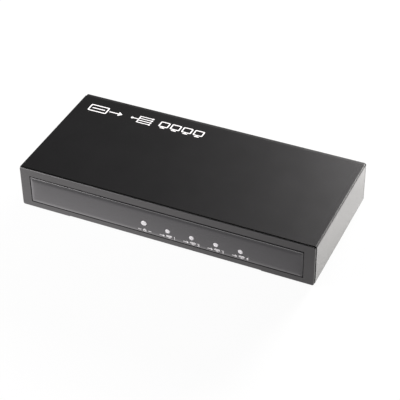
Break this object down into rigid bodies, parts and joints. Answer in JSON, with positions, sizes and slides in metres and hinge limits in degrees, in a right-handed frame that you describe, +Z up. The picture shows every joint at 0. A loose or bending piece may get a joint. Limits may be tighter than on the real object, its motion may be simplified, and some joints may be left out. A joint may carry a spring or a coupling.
{
  "type": "video splitter",
  "caption": "Flat desktop box that repeats one picture and sound signal to several screens: metal sleeve, plastic end bezels, indicator lights, rear sockets and a power jack.",
  "frame": {"origin": "on the table, under the middle of the box", "axes": "+X to the right as seen from the front, -Y out of the front, +Z up"},
  "size_m": [0.1756, 0.0808, 0.0267],
  "materials": {
    "cover_paint": "satin black",
    "tray_steel": "zinc plated",
    "bezel_plastic": "fine satin",
    "label_panel": "glossy black",
    "light_window": "milky clear",
    "lamp_resin": "milky clear",
    "tinned_metal": "tinned",
    "foot_rubber": "matt",
    "board_laminate": "green solder mask",
    "screw_black": "black oxide",
    "screw_zinc": "zinc plated",
    "socket_nickel": "nickel plated",
    "socket_insulator": "moulded black",
    "contact_gold": "gold flash",
    "jack_plastic": "moulded black",
    "chip_epoxy": "moulded black",
    "pad_silicone": "soft grey",
    "cooler_aluminium": "plain",
    "crystal_can": "plain",
    "coil_ferrite": "dark grey",
    "capacitor_can": "plain",
    "small_ceramic": "matt"
  },
  "bodies": {
    "root": {"top_cover": "cover_paint", "chassis_tray": "tray_steel", "front_bezel": "bezel_plastic", "front_label": "label_panel", "power_window": "light_window", "output_windows": "light_window", "rear_bezel": "bezel_plastic", "rubber_feet": "foot_rubber", "main_board": "board_laminate", "board_standoffs": "screw_zinc", "board_screws": "screw_zinc", "cover_screws": "screw_black", "front_bezel_screws": "screw_zinc", "rear_bezel_screws": "screw_black", "power_led": "lamp_resin", "output_leds": "lamp_resin", "led_legs": "tinned_metal", "led_holders": "socket_insulator", "power_jack_housing": "jack_plastic", "power_jack_center_pin": "socket_nickel", "power_jack_spring": "socket_nickel", "splitter_chip": "chip_epoxy", "splitter_chip_leads": "tinned_metal", "thermal_pad": "pad_silicone", "heat_sink": "cooler_aluminium", "control_chip": "chip_epoxy", "control_chip_leads": "tinned_metal", "memory_chip": "chip_epoxy", "memory_chip_leads": "tinned_metal", "voltage_regulators": "chip_epoxy", "regulator_leads": "tinned_metal", "clock_crystal": "crystal_can", "power_coil": "coil_ferrite", "filter_capacitors": "capacitor_can", "line_resistors": "small_ceramic", "surge_guards": "small_ceramic", "input_socket_shell": "socket_nickel", "input_socket_core": "socket_insulator", "input_socket_contacts": "contact_gold", "output_1_socket_shell": "socket_nickel", "output_1_socket_core": "socket_insulator", "output_1_socket_contacts": "contact_gold", "output_2_socket_shell": "socket_nickel", "output_2_socket_core": "socket_insulator", "output_2_socket_contacts": "contact_gold", "output_3_socket_shell": "socket_nickel", "output_3_socket_core": "socket_insulator", "output_3_socket_contacts": "contact_gold", "output_4_socket_shell": "socket_nickel", "output_4_socket_core": "socket_insulator", "output_4_socket_contacts": "contact_gold"}
  },
  "joints": []
}
